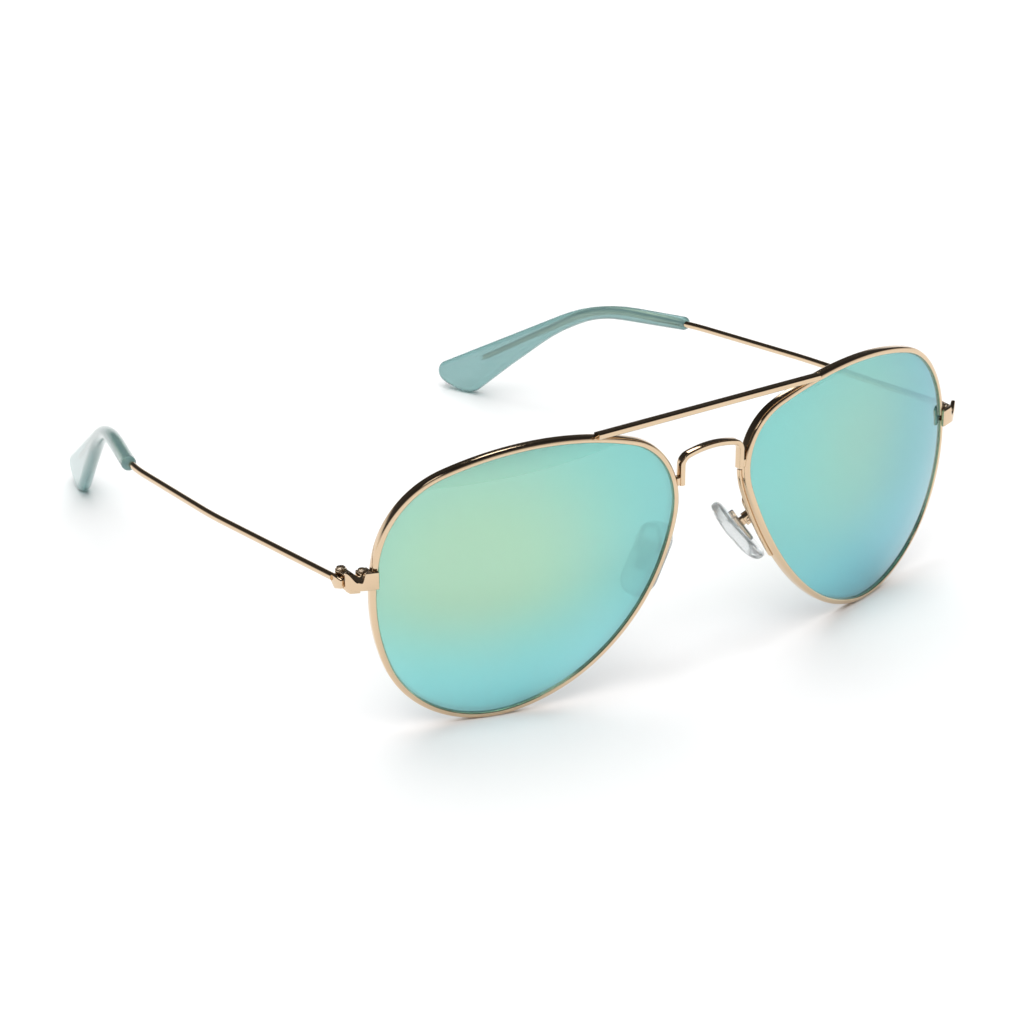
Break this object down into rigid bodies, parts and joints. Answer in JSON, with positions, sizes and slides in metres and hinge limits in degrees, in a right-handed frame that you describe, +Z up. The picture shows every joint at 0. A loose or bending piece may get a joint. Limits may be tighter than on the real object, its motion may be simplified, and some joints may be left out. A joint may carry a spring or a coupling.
{
  "type": "aviator sunglasses",
  "caption": "Wire-frame aviator sunglasses with teardrop mirrored lenses, brow bar, folding wire temples and rocking nose pads.",
  "frame": {"origin": "middle of the footprint on the surface the open glasses stand on, midway between the lenses", "axes": "+Z up from the surface, +Y from the lenses back along the temples, +X to the wearer's left"},
  "size_m": [0.1414, 0.1688, 0.0527],
  "materials": {
    "gold_plate": "polished pale gold plating",
    "screw_steel": "gold-plated steel, satin",
    "mirror_lens": "green to blue flash mirror over a tinted lens",
    "clear_silicone": "clear soft silicone",
    "translucent_acetate": "translucent teal acetate, polished"
  },
  "bodies": {
    "front": {"bridge": "gold_plate", "brow_bar": "gold_plate", "closing_block_lower_left": "gold_plate", "closing_block_lower_right": "gold_plate", "closing_block_upper_left": "gold_plate", "closing_block_upper_right": "gold_plate", "closing_screw_left": "screw_steel", "closing_screw_right": "screw_steel", "end_piece_left": "gold_plate", "end_piece_right": "gold_plate", "hinge_front_left": "gold_plate", "hinge_front_right": "gold_plate", "hinge_screw_left": "screw_steel", "hinge_screw_right": "screw_steel", "lens_left": "mirror_lens", "lens_right": "mirror_lens", "pad_arm_left": "gold_plate", "pad_arm_right": "gold_plate", "pad_box_left": "gold_plate", "pad_box_right": "gold_plate", "pad_screw_left": "screw_steel", "pad_screw_right": "screw_steel", "rim_left": "gold_plate", "rim_right": "gold_plate"},
    "temple_left": {"temple_knuckle_left": "gold_plate", "temple_cap_left": "gold_plate", "temple_wire_left": "gold_plate", "temple_tip_left": "translucent_acetate"},
    "pad_left": {"nose_pad_left": "clear_silicone", "pad_insert_left": "gold_plate"},
    "temple_right": {"temple_knuckle_right": "gold_plate", "temple_cap_right": "gold_plate", "temple_wire_right": "gold_plate", "temple_tip_right": "translucent_acetate"},
    "pad_right": {"nose_pad_right": "clear_silicone", "pad_insert_right": "gold_plate"}
  },
  "joints": [
    {"name": "temple_left_fold", "type": "hinge", "parent": "front", "child": "temple_left", "pos_m": [0.06815, -0.06625, 0.03146], "axis": [0, -0.0641, 0.9979], "range_deg": [0, 84]},
    {"name": "temple_right_fold", "type": "hinge", "parent": "front", "child": "temple_right", "pos_m": [-0.06815, -0.06625, 0.03146], "axis": [0, 0.0641, -0.9979], "range_deg": [0, 77]},
    {"name": "pad_left_rock", "type": "hinge", "parent": "front", "child": "pad_left", "pos_m": [0.01224, -0.07821, 0.02587], "axis": [0.3835, 0.916, 0.1181], "range_deg": [-6, 12]},
    {"name": "pad_right_rock", "type": "hinge", "parent": "front", "child": "pad_right", "pos_m": [-0.01224, -0.07821, 0.02587], "axis": [-0.3835, 0.916, 0.1181], "range_deg": [-12, 6]}
  ]
}
